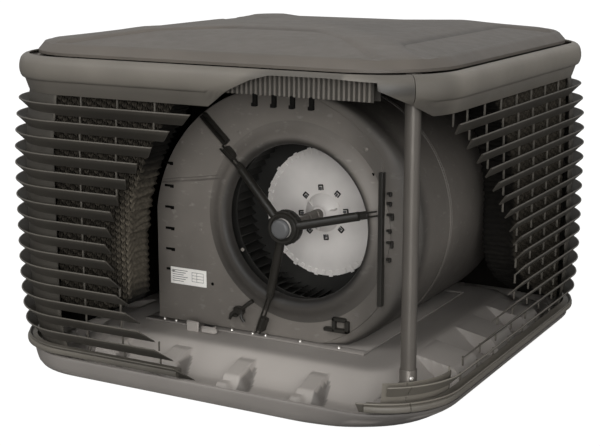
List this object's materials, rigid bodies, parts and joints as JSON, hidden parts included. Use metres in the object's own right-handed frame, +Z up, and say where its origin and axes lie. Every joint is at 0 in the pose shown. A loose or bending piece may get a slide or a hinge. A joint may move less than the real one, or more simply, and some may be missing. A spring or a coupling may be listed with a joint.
{
  "type": "evaporative cooler",
  "caption": "Square roof-type evaporative cooler with louvred pad frames, sloping lid and shallow tank, cut away to show its centrifugal fan, scroll and front spider.",
  "frame": {"origin": "centre of the tank underside, on the surface that it stands on", "axes": "+Z up, -Y towards the front with the fan inlet, +X to the right side seen from the front"},
  "size_m": [1.153, 1.153, 0.818],
  "materials": {
    "tank_plastic": "warm grey rotation-moulded plastic, fine satin",
    "lid_plastic": "warm grey moulded plastic, satin",
    "louvre_plastic": "dark warm grey moulded plastic",
    "distributor_plastic": "dark grey ribbed plastic",
    "pad_paper": "dark resin-treated honeycomb paper",
    "post_metal": "light grey powder coat",
    "black_plastic": "black plastic",
    "pale_plastic": "natural white plastic",
    "scroll_plastic": "mottled dark grey moulded plastic",
    "label_film": "white film with grey bars",
    "bright_steel": "galvanised sheet steel",
    "galvanised": "galvanised sheet steel",
    "motor_paint": "black painted aluminium"
  },
  "bodies": {
    "cabinet": {"tank": "tank_plastic", "duct_collar": "galvanised", "scroll_base_plate": "tank_plastic", "lid": "lid_plastic", "water_distributor_front": "distributor_plastic", "water_distributor_right": "distributor_plastic", "water_distributor_back": "distributor_plastic", "water_distributor_left": "distributor_plastic", "corner_post_front_right": "post_metal", "post_foot_front_right": "post_metal", "corner_post_back_right": "post_metal", "post_foot_back_right": "post_metal", "corner_post_back_left": "post_metal", "post_foot_back_left": "post_metal", "corner_post_front_left": "post_metal", "post_foot_front_left": "post_metal", "distribution_manifold": "black_plastic", "riser_pipe": "black_plastic", "pump_body": "black_plastic", "pump_strainer": "black_plastic", "drain_valve_body": "black_plastic", "inlet_valve": "black_plastic", "edge_channel": "black_plastic", "sensor_block": "black_plastic", "cable_bracket": "black_plastic", "spider_hub": "black_plastic", "hub_cap": "black_plastic", "spider_arm_1": "black_plastic", "spider_arm_2": "black_plastic", "spider_arm_3": "black_plastic", "motor_bracket": "black_plastic", "electronics_box": "black_plastic", "electronics_cover": "black_plastic", "cable_gland": "black_plastic", "level_probe": "pale_plastic", "scroll_front_shell": "scroll_plastic", "scroll_rear_shell": "scroll_plastic", "inlet_ring_front": "scroll_plastic", "inlet_ring_rear": "scroll_plastic", "cutoff_plate": "scroll_plastic", "rating_plate": "label_film", "front_bearing": "bright_steel", "rear_bearing": "bright_steel", "motor_body": "motor_paint"},
    "fan_wheel": {"fan_shaft": "bright_steel", "wheel_disc": "bright_steel", "wheel_hub": "bright_steel", "blade_ring": "black_plastic"},
    "pump_rotor": {"pump_impeller": "pale_plastic"},
    "drain_plug": {"drain_plunger": "pale_plastic"},
    "float": {"float_arm": "pale_plastic"},
    "front_frame": {"pad_frame_front": "louvre_plastic", "cooling_pad_front": "pad_paper"},
    "right_frame": {"pad_frame_right": "louvre_plastic", "cooling_pad_right": "pad_paper"},
    "back_frame": {"pad_frame_back": "louvre_plastic", "cooling_pad_back": "pad_paper"},
    "left_frame": {"pad_frame_left": "louvre_plastic", "cooling_pad_left": "pad_paper"}
  },
  "joints": [
    {"name": "fan_spin", "type": "hinge", "parent": "cabinet", "child": "fan_wheel", "pos_m": [0.115, -0.148, 0.376], "axis": [0, -1, 0], "continuous": true},
    {"name": "front_frame_slide", "type": "slide", "parent": "cabinet", "child": "front_frame", "axis": [0, -1, 0], "range_m": [0, 0.12]},
    {"name": "right_frame_slide", "type": "slide", "parent": "cabinet", "child": "right_frame", "axis": [1, 0, 0], "range_m": [0, 0.12]},
    {"name": "back_frame_slide", "type": "slide", "parent": "cabinet", "child": "back_frame", "axis": [0, 1, 0], "range_m": [0, 0.12]},
    {"name": "left_frame_slide", "type": "slide", "parent": "cabinet", "child": "left_frame", "axis": [-1, 0, 0], "range_m": [0, 0.12]},
    {"name": "pump_spin", "type": "hinge", "parent": "cabinet", "child": "pump_rotor", "pos_m": [-0.362, 0.375, 0.04], "axis": [0, 0, 1], "continuous": true},
    {"name": "drain_lift", "type": "slide", "parent": "cabinet", "child": "drain_plug", "axis": [0, 0, 1], "range_m": [0, 0.012]},
    {"name": "float_hinge", "type": "hinge", "parent": "cabinet", "child": "float", "pos_m": [-0.362, 0.092, 0.112], "axis": [1, 0, 0], "range_deg": [0, 22]}
  ]
}
